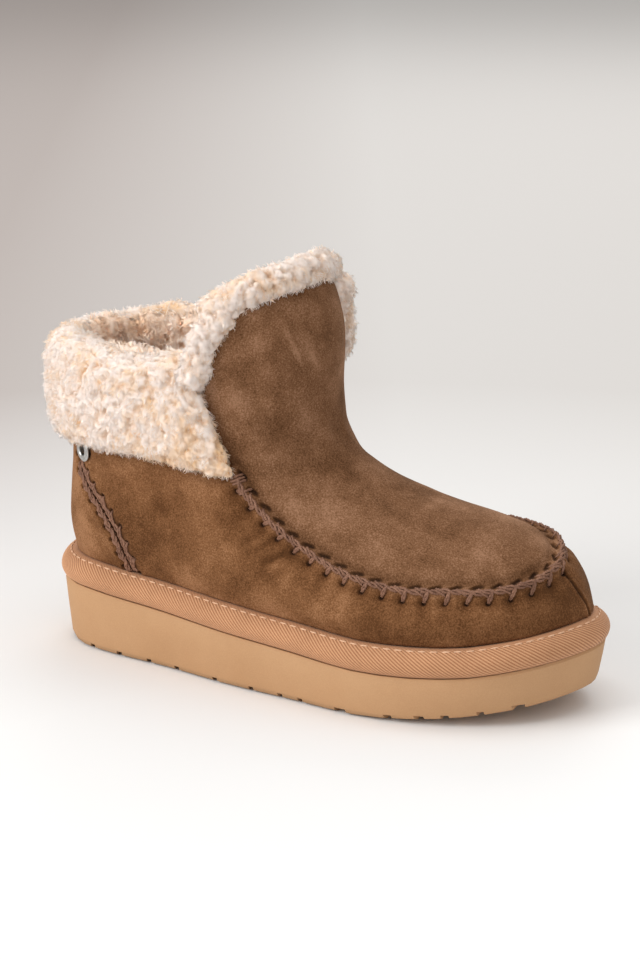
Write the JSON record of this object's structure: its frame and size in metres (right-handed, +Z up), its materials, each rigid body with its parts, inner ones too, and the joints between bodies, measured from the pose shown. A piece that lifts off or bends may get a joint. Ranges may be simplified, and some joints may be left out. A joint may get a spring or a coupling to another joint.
{
  "type": "ankle boot",
  "caption": "Fleece-lined suede ankle boot with moccasin toe, folded pile cuff, raised front flap and a thick foam platform sole, standing empty on its sole.",
  "frame": {"origin": "on the floor plane, under the middle of the boot's bounding box", "axes": "+X along the foot from heel to toe, +Y towards the inner side of the foot, +Z up from the floor; the outer side faces -Y"},
  "size_m": [0.2754, 0.1124, 0.1904],
  "materials": {
    "foam": "matte tan foam with a faint speckle",
    "tape": "ribbed woven tape, warm tan",
    "footbed": "short beige pile",
    "suede": "brown suede with a soft nap",
    "pile": "cream curly pile",
    "trim_pile": "cream curly pile",
    "nickel": "satin nickel"
  },
  "bodies": {
    "root": {"outsole": "foam", "midsole": "tape", "insole": "footbed", "upper": "suede", "cuff": "pile", "flap_trim": "trim_pile", "eyelet": "nickel"}
  },
  "joints": []
}
